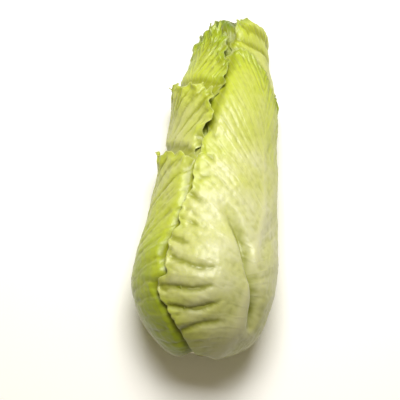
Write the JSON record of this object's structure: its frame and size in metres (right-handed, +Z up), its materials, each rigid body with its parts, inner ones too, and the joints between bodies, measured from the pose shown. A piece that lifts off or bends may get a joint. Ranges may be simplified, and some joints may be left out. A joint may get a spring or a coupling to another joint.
{
  "type": "sugarloaf chicory head",
  "caption": "Tall tapered head of overlapping pale green leaves round a core stem, lying on its side.",
  "frame": {"origin": "centre of the whole head's box in X and Y, on the resting plane z = 0", "axes": "+Y from the cut stem to the leaf tips, +Z up from the resting side, +X to the right of someone looking along +Y"},
  "size_m": [0.1382, 0.3208, 0.1173],
  "materials": {
    "outer_leaf": "satin pale yellow-green leaf, greener at tips and edges, cream at the midrib",
    "inner_leaf": "satin pale yellow leaf",
    "heart": "satin cream-yellow leaf bud",
    "stem": "matte moist cut stem, cream with a faint tan ring"
  },
  "bodies": {
    "root": {"outer_leaf_right": "outer_leaf", "outer_leaf_left_low": "outer_leaf", "outer_leaf_underside": "outer_leaf", "outer_leaf_left_high": "outer_leaf", "outer_leaf_right_under": "outer_leaf", "outer_leaf_crest": "outer_leaf", "outer_leaf_right_tall": "outer_leaf", "outer_leaf_back_tall": "outer_leaf", "inner_leaf_01": "inner_leaf", "inner_leaf_02": "inner_leaf", "inner_leaf_03": "inner_leaf", "inner_leaf_04": "inner_leaf", "inner_leaf_05": "inner_leaf", "inner_leaf_06": "inner_leaf", "inner_leaf_07": "inner_leaf", "inner_leaf_08": "inner_leaf", "inner_leaf_09": "inner_leaf", "inner_leaf_10": "inner_leaf", "inner_leaf_11": "inner_leaf", "inner_leaf_12": "inner_leaf", "inner_leaf_13": "inner_leaf", "inner_leaf_14": "inner_leaf", "heart_bud": "heart", "core_stem": "stem"}
  },
  "joints": []
}
